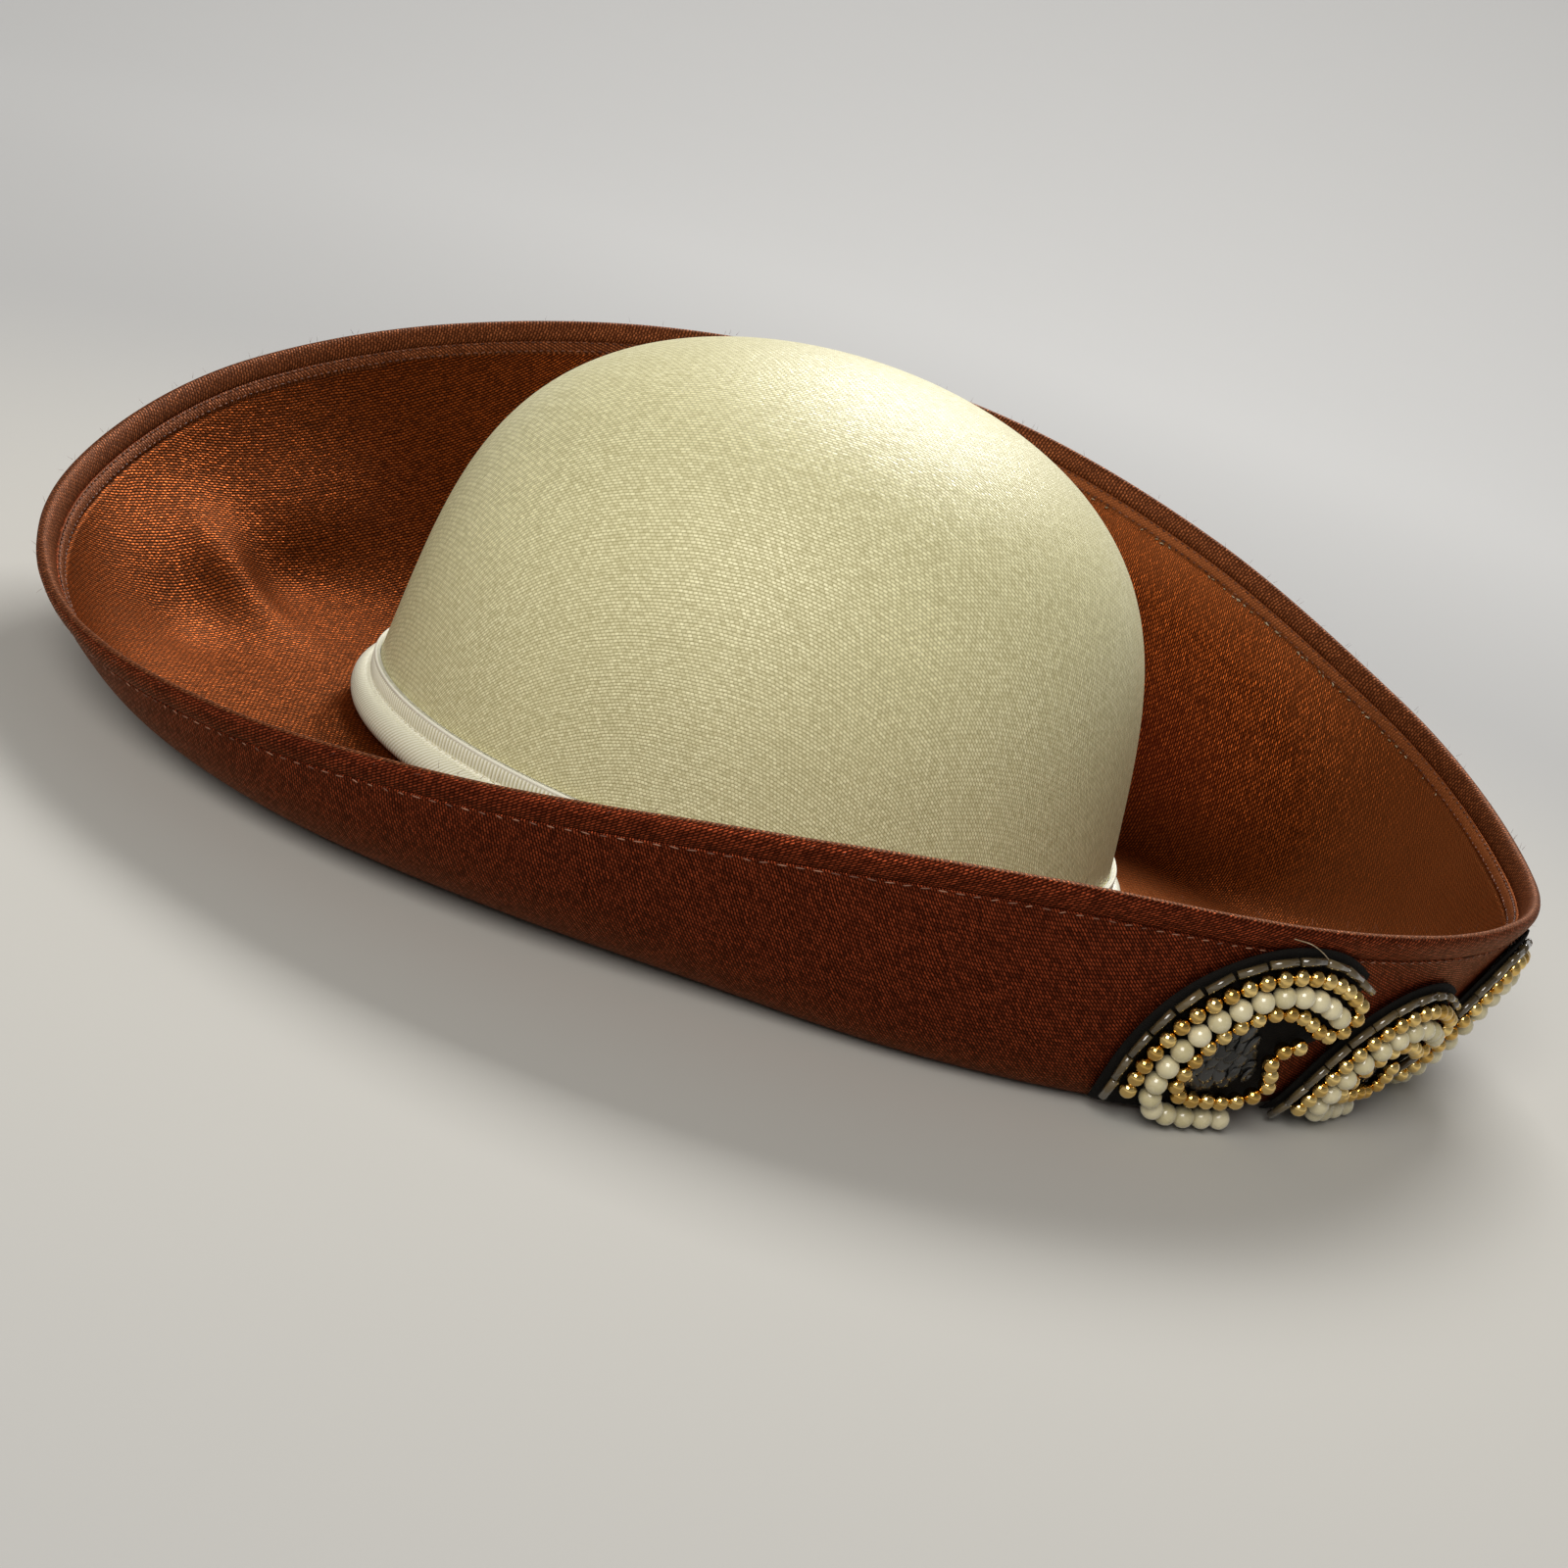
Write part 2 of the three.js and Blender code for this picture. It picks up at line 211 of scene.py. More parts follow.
ivorySatinLook = {
    "deep": (0.27, 0.23, 0.075, 1), "bright": (0.95, 0.91, 0.58, 1), "faded": (0.80, 0.75, 0.42, 1),
    "tint": (1.0, 0.97, 0.86, 1), "yarn": 0.8, "float": 1.5, "stagger": 0.41, "blunt": 0.3, "narrow": 0.5,
    "grain": 97, "sway": 5.0, "swayScale": 0.016, "ripple": 1.0, "rippleScale": 0.1, "drift": 0.25,
    "driftScale": 0.02, "slub": 0.25, "slubAlong": 0.5, "slubAcross": 1.0, "dull": 0.62, "gloss": 0.26,
    # this line holds the painted light and painted shade colours
    "matt": 0.5, "paintedLight": (0.76, 0.72, 0.40, 1), "shade": (0.5, 0.45, 0.2, 1), "metal": 0.0,
    "relief": 1.0, "depth": 0.11, "specular": 0.5, "sheen": 0.02}


def ribbonSockets(board):
    # the band's cloth, with painted shade darker down between its ribs
    flat = board.node("ShaderNodeUVMap", {"uv_map": "cloth"})
    crest = (board.field("phase") * 2).wave() * 0.5 + 0.5
    fibre = board.noise(flat, 2.2, 2.0)
    grooveShade = (1 - crest) * board.field("ribbed") * board.spread(fibre, 0.6, 1.1)
    return {
        "Base Color": board.mix(grooveShade, (0.90, 0.885, 0.74, 1), (0.45, 0.41, 0.22, 1)),
        "Roughness": board.spread(fibre, 0.3, 0.5),
        "Normal": board.bump(fibre, 0.6, 0.1),
        "Specular IOR Level": 0.5,
    }


def feltSockets(board):
    fibre = board.grain(2600.0, 4.0)
    clump = board.grain(420.0, 2.0)
    return {
        "Base Color": board.mix(clump * fibre, (0.0015, 0.0012, 0.001, 1), (0.012, 0.0095, 0.007, 1)),
        "Roughness": board.spread(fibre, 0.75, 1.0),
        "Normal": board.bump(fibre, 0.8, 0.4),
        "Specular IOR Level": 0.15,
    }


def goldSockets(board):
    cloud = board.grain(900.0, 3.0)
    return {
        "Base Color": board.mix(board.field("tone"), (0.62, 0.37, 0.09, 1), (0.92, 0.68, 0.27, 1)),
        "Metallic": 1.0,
        "Roughness": board.spread(cloud, 0.02, 0.12),
    }


def pearlSockets(board):
    cloud = board.grain(500.0, 3.0)
    # an olive skin darker than the pearls' cream: their own tone with painted shade standing in for their
    # shaded upper halves
    skin = board.mix(board.field("tone"), (0.42, 0.36, 0.17, 1), (0.64, 0.57, 0.35, 1))
    return {
        "Base Color": board.mix(cloud * 0.3, skin, (0.80, 0.76, 0.62, 1)),
        "Roughness": board.spread(cloud, 0.2, 0.34),
        "Coat Weight": board.spread(board.field("tone"), 0.7, 1.0),
        "Coat Roughness": 0.05,
        "Specular IOR Level": 0.6,
        "Sheen Weight": 0.1,
    }


def bugleSockets(board):
    streak = board.grain(700.0, 3.0)
    glass = board.mix(board.field("tone"), (0.018, 0.012, 0.005, 1), (0.095, 0.066, 0.028, 1))
    return {
        "Base Color": board.mix(streak * 0.5, glass, (0.16, 0.12, 0.055, 1)),
        "Roughness": board.spread(streak, 0.08, 0.24),
        "Coat Weight": 0.8,
        "Coat Roughness": 0.05,
        "Specular IOR Level": 0.65,
    }


def sequinSockets(board):
    grain = board.grain(1500.0, 3.0)
    return {
        "Base Color": board.mix(board.field("tone"), (0.006, 0.006, 0.006, 1), (0.05, 0.05, 0.05, 1)),
        "Roughness": board.spread(grain, 0.12, 0.34),
        "Coat Weight": board.spread(board.field("tone"), 0.1, 0.5),
        "Coat Roughness": 0.08,
        "Specular IOR Level": 0.35,
    }


def threadSockets(dark, pale):
    def sockets(board):
        twist = board.grain(3000.0, 2.0)
        return {
            "Base Color": board.mix(board.field("tone") * board.spread(twist, 0.5, 1.2), dark, pale),
            "Roughness": board.spread(twist, 0.5, 0.75),
            "Normal": board.bump(twist, 0.5, 0.1),
        }
    return sockets


finishes = {
    "brownSatin": satin(brownSatinLook),
    "hemSatin": satin(hemSatinLook),
    "outerSatinPaintedSheen": satin(outerSatinPaintedSheenLook),
    "ivorySatin": satin(ivorySatinLook),
    "ivoryRibbon": ribbonSockets,
    "blackFelt": feltSockets,
    "goldBead": goldSockets,
    "creamPearl": pearlSockets,
    "smokyBugle": bugleSockets,
    "blackSequin": sequinSockets,
    "brownThread": threadSockets((0.05, 0.011, 0.004, 1), (0.24, 0.085, 0.04, 1)),
    "paleThread": threadSockets((0.10, 0.03, 0.014, 1), (0.34, 0.16, 0.095, 1)),
    "beigeThread": threadSockets((0.24, 0.17, 0.09, 1), (0.50, 0.41, 0.28, 1)),
    "ivoryThread": threadSockets((0.55, 0.5, 0.34, 1), (0.88, 0.84, 0.68, 1)),
}
finish = {name: newMaterial(name, sockets) for name, sockets in finishes.items()}
print("finishes:", len(finish))


# Making meshes

def newObject(name, data):
    made = bpy.data.objects.new(name, data)
    bpy.context.scene.collection.objects.link(made)
    return made


def newPiece(name, points, faces, material, flat=None, fields=None):
    mesh = bpy.data.meshes.new(name)
    mesh.from_pydata((np.asarray(points) * mm).tolist(), [], faces)
    if flat is not None:
        layer = mesh.uv_layers.new(name="cloth")
        layer.data.foreach_set("uv", np.asarray(flat, np.float32).ravel())
    for field, values in (fields or {}).items():
        mesh.attributes.new(field, "FLOAT", "POINT").data.foreach_set("value", np.ravel(values))
    mesh.polygons.foreach_set("use_smooth", np.ones(len(mesh.polygons), bool))
    mesh.materials.append(material)
    return newObject(name, mesh)


def settle(piece, slot, *nodes):
    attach(piece, "root")
    if nodes:
        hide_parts(*nodes)


def signedVolume(points, faces):
    corner = points[np.array([[f[0], f[k], f[k + 1]] for f in faces for k in range(1, len(f) - 1)])]
    return np.einsum("ij,ij->i", corner[:, 0], np.cross(corner[:, 1], corner[:, 2])).sum()


def loft(name, rings, flat, material, capped=False, fields=None):
    # rings of points all round; the last ring joins the first, or both ends close at a pole
    count, wide = rings.shape[:2]
    points = rings.reshape(-1, 3)
    last = count - 1 if capped else count
    faces = []
    corners = []
    for i in range(last):
        for j in range(wide):
            square = [(i, j), (i, j + 1), (i + 1, j + 1), (i + 1, j)]
            faces.append([(a % count) * wide + b % wide for a, b in square])
            corners.append([flat[a, b] for a, b in square])
    if capped:
        for end, turned in ((0, 1), (count - 1, 0)):
            pole = len(points)
            points = np.vstack([points, rings[end].mean(axis=0)])
            middle = flat[end, :wide].mean(axis=0)
            for j in range(wide):
                near = j + turned
                far = j + 1 - turned
                faces.append([pole, end * wide + near % wide, end * wide + far % wide])
                corners.append([middle, flat[end, near], flat[end, far]])
    if signedVolume(points, faces) < 0:
        faces = [face[::-1] for face in faces]
        corners = [corner[::-1] for corner in corners]
    uv = np.array([pair for corner in corners for pair in corner])
    return newPiece(name, points, faces, material, uv, fields)


def wrapped(values):
    # one more column and row that repeat the first, for corners past the seam
    values = np.concatenate([values, values[:, :1]], axis=1)
    return np.concatenate([values, values[:1]], axis=0)


def stepLengths(line):
    steps = np.linalg.norm(np.diff(line, axis=0), axis=-1)
    return np.concatenate([np.zeros((1,) + steps.shape[1:]), np.cumsum(steps, axis=0)])


def spun(turn, out, up):
    turn, out, up = np.broadcast_arrays(turn, out, up)
    return np.stack([out * np.sin(turn), -out * np.cos(turn), up], axis=-1)


def place(turn, reach, height):
    return spun(turn, reach, height) + hatAxis


def turns(count):
    return np.arange(count) / count * fullTurn


# Brim: one wall that sweeps up all round, with a flat strip that it stands on

brimSize = {"sections": 420, "wall": 2.2, "drop": 3.5, "strip": 7.0, "headGap": 6, "gap": 0.3, "hem": 6.0,
            "pull": 0.35, "lower": (0, 0.86, 34), "upper": (0.875, 1, 22), "floorSteps": 6, "stripSteps": 4}
headSize = {"halfLength": 96.4, "halfWidth": 82.4}
brimEdge = {"front": 200, "back": 186, "side": 150}
brimColumns = ("floor", "swell", "rise", "slope", "round")
brimRows = np.array([    # every 22.5 degrees from the front towards the wearer's left
    (158, 0, 52, 70, 0.60),
    (140, 0, 68, 70, 0.50),
    (116, -1, 88, 70, 0.45),
    (101, -1, 100, 70, 0.40),
    (97, 0, 102, 70, 0.36),
    (99, 1, 96, 68, 0.36),
    (103, 1, 82, 62, 0.36),
    (107, 0, 62, 54, 0.36),
    (111, 0, 38, 50, 0.50),
    (120, 0, 26, 50, 0.60),
    (117, 1, 29, 58, 0.60),
    (109, 1, 38, 66, 0.55),
    (110, 0, 48, 70, 0.60),
    (126, 2, 55, 74, 0.70),
    (146, 4, 55, 74, 0.75),
    (158, 1, 53, 72, 0.70),
])
foldRows = (    # turn, spread, share of the height, tall, lift
    (177, 3.6, 0.80, 0.20, 2.8),
    (170.5, 2.8, 0.50, 0.20, 4.4),
    (181, 5, 0.34, 0.17, -3.6),
    (160, 7, 0.40, 0.10, -3.4),
    (157, 8, 0.62, 0.12, 2.2),
)
hemStrip = {"width": 3.6, "proud": 0.55, "fall": 0.125, "grooves": (0.4, 3.9), "grooveWide": 0.4,
            "grooveDeep": 0.42, "puckers": 260, "pucker": 0.1, "beat": 3.1, "beatStart": 1}
# where the painted light and painted shade lie on the brim's inner face
paintedLightSize = {"front": 2, "frontSpread": 13, "frontMost": 0.62, "side": 52, "sideSpread": 24, "sideDeep": 17,
              "sideMost": 0.6, "low": 44, "lowSpread": 17, "lowDeep": 60, "lowTall": 23, "lowMost": 0.75}


def ovalReach(turn, halfLength, halfWidth):
    return 1 / np.hypot(np.cos(turn) / halfLength, np.sin(turn) / halfWidth)


def headReach(turn, grow=0.0):
    return ovalReach(turn, headSize["halfLength"] + grow, headSize["halfWidth"] + grow)


def hermite(first, second, leave, arrive, share):
    return ((2 * first - 2 * second + leave + arrive) * share ** 3
            + (3 * second - 3 * first - 2 * leave - arrive) * share ** 2 + leave * share + first)


def smoothStep(values, share):
    # uniform Catmull-Rom through four neighbours
    before, first, second, after = values
    return hermite(first, second, (second - before) / 2, (after - first) / 2, share)


def brimAt(turn):
    count = len(brimRows)
    at = (np.asarray(turn) / fullTurn * count) % count
    first = np.floor(at).astype(int)
    near = [np.moveaxis(brimRows[(first + step) % count], -1, 0) for step in (-1, 0, 1, 2)]
    row = dict(zip(brimColumns, smoothStep(near, at - first)))
    halfLength = np.where(np.cos(turn) > 0, brimEdge["front"], brimEdge["back"])
    row["edge"] = ovalReach(turn, halfLength, brimEdge["side"]) + row["swell"]
    return row


def foldLift(turn, share):
    degrees = np.degrees(turn) % 360
    lift = 0
    for at, spread, up, tall, height in foldRows:
        lift = lift + height * np.exp(-0.5 * (((degrees - at) / spread) ** 2 + ((share - up) / tall) ** 2))
    return lift * np.sin(math.pi * share)


def wallTop(turn):
    row = brimAt(turn)
    slope = np.radians(row["slope"])
    along = np.stack([np.cos(slope), np.sin(slope)])
    inward = np.stack([-along[1], along[0]])
    edge = np.stack([row["edge"], row["rise"]])
    return row, along, edge - along * (brimSize["hem"] + brimSize["gap"]) - inward * brimSize["wall"] / 2


def wallLine(turn, share):
    # outer face of the wall: reach, height and the normal that points into the hat
    row, along, top = wallTop(turn)
    foot = np.stack([row["floor"], 0 * row["floor"]])
    out = foot + np.stack([row["round"] * (row["edge"] - row["floor"]), 0 * row["floor"]])
    back = top - along * brimSize["pull"] * np.hypot(*(top - foot))
    rest = 1 - share
    line = foot * rest ** 3 + 3 * out * rest ** 2 * share + 3 * back * rest * share ** 2 + top * share ** 3
    way = (out - foot) * rest ** 2 + 2 * (back - out) * rest * share + (top - back) * share ** 2
    way = way / np.hypot(*way)
    normal = np.stack([-way[1], way[0]])
    folded = line + normal * foldLift(turn, share)
    folded[1] = np.maximum(folded[1], 0)
    return folded, normal


def ridge(depth, turn):
    # raised strip of the turned hem inside the edge; depth runs down from the hem's foot
    size = hemStrip
    body = 1 / (1 + np.exp((depth - size["width"]) / size["fall"]))
    lift = size["proud"] * body
    for grooveShade in size["grooves"]:
        lift = lift - size["grooveDeep"] * np.exp(-0.5 * ((depth - grooveShade) / size["grooveWide"]) ** 2)
    beat = np.sin(size["beat"] * turn + size["beatStart"])
    return lift + size["pucker"] * body * np.sin(turn * size["puckers"]) * beat


def paintedLightAt(depth, turn):
    # painted light and painted shade: paler inside the front end and under the strip, where more light falls,
    # darker low on the far side, where shade falls
    size = paintedLightSize
    degrees = (np.degrees(turn) + 180) % 360 - 180
    front = np.exp(-0.5 * ((degrees - size["front"]) / size["frontSpread"]) ** 2) * size["frontMost"]
    side = np.exp(-0.5 * ((degrees - size["side"]) / size["sideSpread"]) ** 2)
    side = side * np.exp(-depth / size["sideDeep"])
    low = np.exp(-0.5 * (((degrees - size["low"]) / size["lowSpread"]) ** 2
                         + ((depth - size["lowDeep"]) / size["lowTall"]) ** 2))
    return np.clip(front + side * size["sideMost"] - low * size["lowMost"], -1, 1)


def buildBrim():
    turn = turns(brimSize["sections"])
    shares = np.concatenate([np.linspace(*brimSize["lower"]), np.linspace(*brimSize["upper"])])
    wall, normal = zip(*(wallLine(turn, share) for share in shares))
    inner = np.stack([headReach(turn), 0 * turn + brimSize["drop"]])
    reach = np.maximum(brimAt(turn)["floor"] - brimSize["strip"], headReach(turn, brimSize["headGap"]))
    outer = np.stack([reach, 0 * turn])
    floorSteps = brimSize["floorSteps"]
    stripSteps = brimSize["stripSteps"]
    floor = [inner + (outer - inner) * k / floorSteps for k in range(floorSteps + 1)]
    strip = [outer + (wall[0] - outer) * k / stripSteps for k in range(1, stripSteps)]
    under = np.array(floor + strip + list(wall))
    flatUp = np.stack([0 * turn, 0 * turn + 1])
    normals = np.array([flatUp] * (len(floor) + len(strip)) + list(normal))
    lengths = stepLengths(np.moveaxis(under, 1, -1))
    thick = brimSize["wall"] + ridge(lengths[-1] - lengths, turn)
    upper = under + normals * thick[:, None, :]
    section = np.concatenate([under, upper[::-1]])
    rings = place(turn, section[:, 0], section[:, 1])
    spread = np.concatenate([lengths, lengths[::-1]]) + headReach(turn)
    flat = spun(turn, spread, 0)[..., :2]
    # painted light and painted shade on the brim's inner face, none on its outer face
    fadeAndPaintedLight = np.concatenate([0 * lengths, paintedLightAt(lengths[-1] - lengths, turn)[::-1]])
    piece = loft("brimWall", rings, wrapped(flat), finish["brownSatin"], fields={"paintedLight": fadeAndPaintedLight})
    hemFaces = (lengths[-1] - lengths < hemStrip["width"])[::-1]
    piece.data.materials.append(finish["hemSatin"])
    # its outer faces take the satin copy with a painted reflection and painted glints
    piece.data.materials.append(finish["outerSatinPaintedSheen"])
    outerKind = len(piece.data.materials) - 1
    kinds = np.concatenate([np.full(hemFaces.shape, outerKind), hemFaces]).astype(int)
    piece.data.polygons.foreach_set("material_index", kinds.ravel())
    return piece


settle(buildBrim(), "brown_satin", "brim")
print("brim: done")


# Hem: the wired roll on the brim's edge

hemSize = {"sections": 720, "halfHigh": 3.25, "middle": 3.05, "halfThick": 1.62, "square": 2.5, "points": 22,
           "waves": 37, "wave": 0.07, "beat": 11, "beatStart": 2}


def hemSection(turn, up, out):
    _, along, top = wallTop(turn)
    normal = np.stack([-along[1], along[0]])
    at = top + along * up + normal * (out + brimSize["wall"] / 2)
    return place(turn, at[0], at[1])


def buildHem():
    turn = turns(hemSize["sections"])
    angle = turns(hemSize["points"])
    power = 2 / hemSize["square"]
    high = np.sign(np.sin(angle)) * np.abs(np.sin(angle)) ** power * hemSize["halfHigh"] + hemSize["middle"]
    thick = np.sign(np.cos(angle)) * np.abs(np.cos(angle)) ** power * hemSize["halfThick"]
    beat = np.sin(turn * hemSize["beat"] + hemSize["beatStart"])
    ripple = 1 + hemSize["wave"] * np.sin(turn * hemSize["waves"]) * beat
    rings = np.stack([hemSection(turn, u, t * ripple) for u, t in zip(high, thick)])
    run = stepLengths(np.concatenate([rings[0], rings[0][:1]]))
    around = stepLengths(np.concatenate([rings[:, 0], rings[:1, 0]]))
    flat = np.stack(np.broadcast_arrays(run[None, :], around[:, None]), axis=-1)
    piece = loft("edgeHem", rings, flat, finish["hemSatin"])
    # the roll's outer side takes the satin copy with a painted reflection and painted glints
    piece.data.materials.append(finish["outerSatinPaintedSheen"])
    outside = np.broadcast_to((thick < 0)[:, None], rings.shape[:2])
    piece.data.polygons.foreach_set("material_index", outside.astype(int).ravel())
    return piece


settle(buildHem(), "brown_satin", "edge_binding")
print("hem: done")


# Crown: a full dome of satin over a straight foot

crownSize = {"sections": 240, "wall": 2.0, "foot": 6.0, "straightTo": 18.5, "top": 122.5, "taper": 0.134,
             "rings": 64, "innerRings": 26, "footRings": 4, "endTurn": 0.492}


def domeLine(rings, top):
    size = crownSize
    rise = np.sin(np.linspace(0, size["endTurn"] * math.pi, rings))
    share = np.sqrt(1 - rise ** 4) * (1 - size["taper"] * rise)
    steps = size["footRings"]
    foot = [(1.0, size["foot"] + (size["straightTo"] - size["foot"]) * k / steps) for k in range(steps)]
    return np.array(foot + list(zip(share, size["straightTo"] + rise * (top - size["straightTo"]))))


def buildCrown():
    turn = turns(crownSize["sections"])
    outer = domeLine(crownSize["rings"], crownSize["top"])
    inner = domeLine(crownSize["innerRings"], crownSize["top"] - crownSize["wall"])
    outRings = np.stack([place(turn, s * headReach(turn, crownSize["wall"]), z) for s, z in outer])
    inRings = np.stack([place(turn, s * headReach(turn), z) for s, z in inner])
    rings = np.concatenate([inRings[::-1], outRings])
    flats = []
    for fromPole in (inRings[::-1], outRings[::-1]):
        down = stepLengths(fromPole) + np.linalg.norm(fromPole[0] - fromPole[0].mean(axis=0), axis=-1)
        flats.append(spun(turn, down, 0)[..., :2])
    flat = np.concatenate([flats[0], flats[1][::-1]])
    return loft("crownDome", rings, wrapped(flat), finish["ivorySatin"], capped=True)


settle(buildCrown(), "ivory_satin", "crown")
print("crown: done")


# Geometry Nodes: trees, their inputs and the meshes they give

def newTree(name, inputs):
    tree = bpy.data.node_groups.new(name, "GeometryNodeTree")
    tree.is_modifier = True
    for label, kind in [("Geometry", "Geometry")] + inputs:
        tree.interface.new_socket(label, in_out="INPUT", socket_type="NodeSocket" + kind)
    tree.interface.new_socket("Geometry", in_out="OUTPUT", socket_type="NodeSocketGeometry")
    board = Board(tree)
    start = board.node("NodeGroupInput")
    return tree, board, start


def closeTree(board, shape, material):
    shape = board.node("GeometryNodeSetShadeSmooth", None, {"Geometry": shape})
    shape = board.node("GeometryNodeSetMaterial", None, {"Geometry": shape, "Material": material})
    board.node("NodeGroupOutput", None, {0: shape})


def runTree(piece, tree, values):
    modifier = piece.modifiers.new(tree.name, "NODES")
    modifier.node_group = tree
    for item in tree.interface.items_tree:
        if item.in_out == "INPUT" and item.name in values:
            modifier[item.identifier] = values[item.name]
    graph = bpy.context.evaluated_depsgraph_get()
    made = bpy.data.meshes.new_from_object(piece.evaluated_get(graph))
    made.name = piece.name
    piece.modifiers.remove(modifier)
    piece.data = made
    return piece


rowInputs = [("Pitch", "Float"), ("Length", "Float"), ("Width", "Float"), ("Height", "Float"),
             ("Tilt", "Float"), ("Seed", "Int"), ("Material", "Material")]


def rowTree(name, shapeOf, onCurve):
    # a shape repeated along a line, or on every point, standing on the way named facing
    tree, board, start = newTree(name, rowInputs)
    points = start.side("Geometry")
    facing = board.named("facing", "FLOAT_VECTOR")
    if onCurve:
        curve = board.node("GeometryNodeMeshToCurve", None, {"Mesh": points})
        points = board.node("GeometryNodeResampleCurve", {"mode": "LENGTH"},
                            {"Curve": curve, "Length": start.side("Pitch")})
        along = board.node("GeometryNodeInputTangent")
    else:
        along = board.named("along", "FLOAT_VECTOR")
    stood = board.node("FunctionNodeAlignRotationToVector", {"axis": "Z"}, {"Vector": facing})
    turned = board.node("FunctionNodeAlignRotationToVector", {"axis": "X", "pivot_axis": "Z"},
                        {"Rotation": stood, "Vector": along})
    size = board.node("ShaderNodeCombineXYZ", None,
                      {"X": start.side("Length"), "Y": start.side("Width"), "Z": start.side("Height")})
    shape = board.node("GeometryNodeTransform", None, {"Geometry": shapeOf(board), "Scale": size})
    copies = board.node("GeometryNodeInstanceOnPoints", None,
                        {"Points": points, "Instance": shape, "Rotation": turned})
    tilt = start.side("Tilt")
    lean = board.node("FunctionNodeRandomValue", {"data_type": "FLOAT_VECTOR"},
                      {0: tilt * -1, 1: tilt, "Seed": start.side("Seed")})
    copies = board.node("GeometryNodeRotateInstances", None, {"Instances": copies, "Rotation": lean})
    tone = board.node("FunctionNodeRandomValue", {"data_type": "FLOAT"},
                      {2: 0.0, 3: 1.0, "Seed": start.side("Seed")}, out=1)
    copies = board.node("GeometryNodeStoreNamedAttribute", {"data_type": "FLOAT", "domain": "INSTANCE"},
                        {"Geometry": copies, "Name": "tone", "Value": tone})
    whole = board.node("GeometryNodeRealizeInstances", None, {"Geometry": copies})
    closeTree(board, whole, start.side("Material"))
    return tree


def ballShape(segments, rings):
    return lambda board: board.node("GeometryNodeMeshUVSphere", None,
                                    {"Segments": segments, "Rings": rings, "Radius": 0.5})


def rodShape(board):
    rod = board.node("GeometryNodeMeshCylinder", None,
                     {"Vertices": 8, "Side Segments": 1, "Radius": 0.5, "Depth": 1.0})
    return board.node("GeometryNodeTransform", None, {"Geometry": rod, "Rotation": (0, math.pi / 2, 0)})


def strandShape(board):
    strand = board.node("GeometryNodeMeshCone", None, {
        "Vertices": 4, "Side Segments": 2, "Radius Top": 0.15, "Radius Bottom": 0.5, "Depth": 1.0})
    return board.node("GeometryNodeTransform", None, {"Geometry": strand, "Translation": (0, 0, 0.5)})


roundBeads = rowTree("roundBeads", ballShape(12, 8), True)
pearlBeads = rowTree("pearlBeads", ballShape(18, 12), True)
bugleBeads = rowTree("bugleBeads", rodShape, True)
stitchRow = rowTree("stitchRow", ballShape(8, 5), True)
sequinScales = rowTree("sequinScales", ballShape(10, 5), False)
looseStitches = rowTree("looseStitches", ballShape(8, 5), False)
frayedStrands = rowTree("frayedStrands", strandShape, False)


def rowPiece(name, line, facing, material, tree, size, seed, along=None):
    # the line that a tree follows, with the way that the surface faces at each point
    edges = [] if along is not None else [(i, i + 1) for i in range(len(line) - 1)]
    mesh = bpy.data.meshes.new(name)
    mesh.from_pydata((np.asarray(line) * mm).tolist(), edges, [])
    fields = {"facing": facing} if along is None else {"facing": facing, "along": along}
    for field, values in fields.items():
        layer = mesh.attributes.new(field, "FLOAT_VECTOR", "POINT")
        layer.data.foreach_set("vector", np.asarray(values, np.float32).ravel())
    values = {key.title(): size[key] * mm for key in ("pitch", "length", "width", "height") if key in size}
    values.update({"Tilt": size.get("tilt", 0.0), "Seed": seed, "Material": finish[material]})
    return runTree(newObject(name, mesh), tree, values)


# Band: a ribbed flange against the crown over a fat roll

bandSize = {"ribs": 540, "perRib": 4, "face": 2.3, "base": 6.0, "flange": 1.3, "top": 18.5, "rollOut": 2.6,
            "rollUp": 3.6, "rollArc": (-110, 104, 16), "rollRibbed": 0.8, "piping": 0.45, "pipingIn": 0.35,
            "pipingArc": (-40, 180, 6), "ribDepth": 0.2, "slant": 2.6}
innerRows = (4, 1.2)    # up from the band's base, against the crown
flangeRows = (    # out past the flange, up from the seam, how strongly ribbed
    (-0.25, 0.45, 0.2),
    (0, 0.9, 1),
    (0.05, 2.4, 1),
)
rimRows = (    # out past the flange, up from the band's top, how strongly ribbed
    (0, -1.2, 1),
    (-0.2, -0.95, 0.2),
)


def bandProfile():
    # out from the head, up, how strongly it is ribbed, how far its ribs lean
    size = bandSize
    outFace = size["face"] + size["flange"]
    rollX = size["face"] + size["rollOut"]
    rollZ = size["base"] + size["rollUp"]
    line = [(size["face"], size["top"], 0, 0)]
    line += [(size["face"], size["base"] + up, 0, 0) for up in innerRows]
    for angle in np.radians(np.linspace(*size["rollArc"])):
        line.append((rollX + size["rollOut"] * math.cos(angle), rollZ + size["rollUp"] * math.sin(angle),
                     size["rollRibbed"], 1 - math.sin(angle)))
    seam = rollZ + size["rollUp"]
    line += [(outFace + out, seam + up, ribbed, 0) for out, up, ribbed in flangeRows]
    line += [(outFace + out, size["top"] + up, ribbed, 0) for out, up, ribbed in rimRows]
    for angle in np.radians(np.linspace(*size["pipingArc"])):
        line.append((outFace - size["pipingIn"] + size["piping"] * math.cos(angle),
                     size["top"] - size["piping"] + size["piping"] * math.sin(angle), 0, 0))
    return np.array(line)


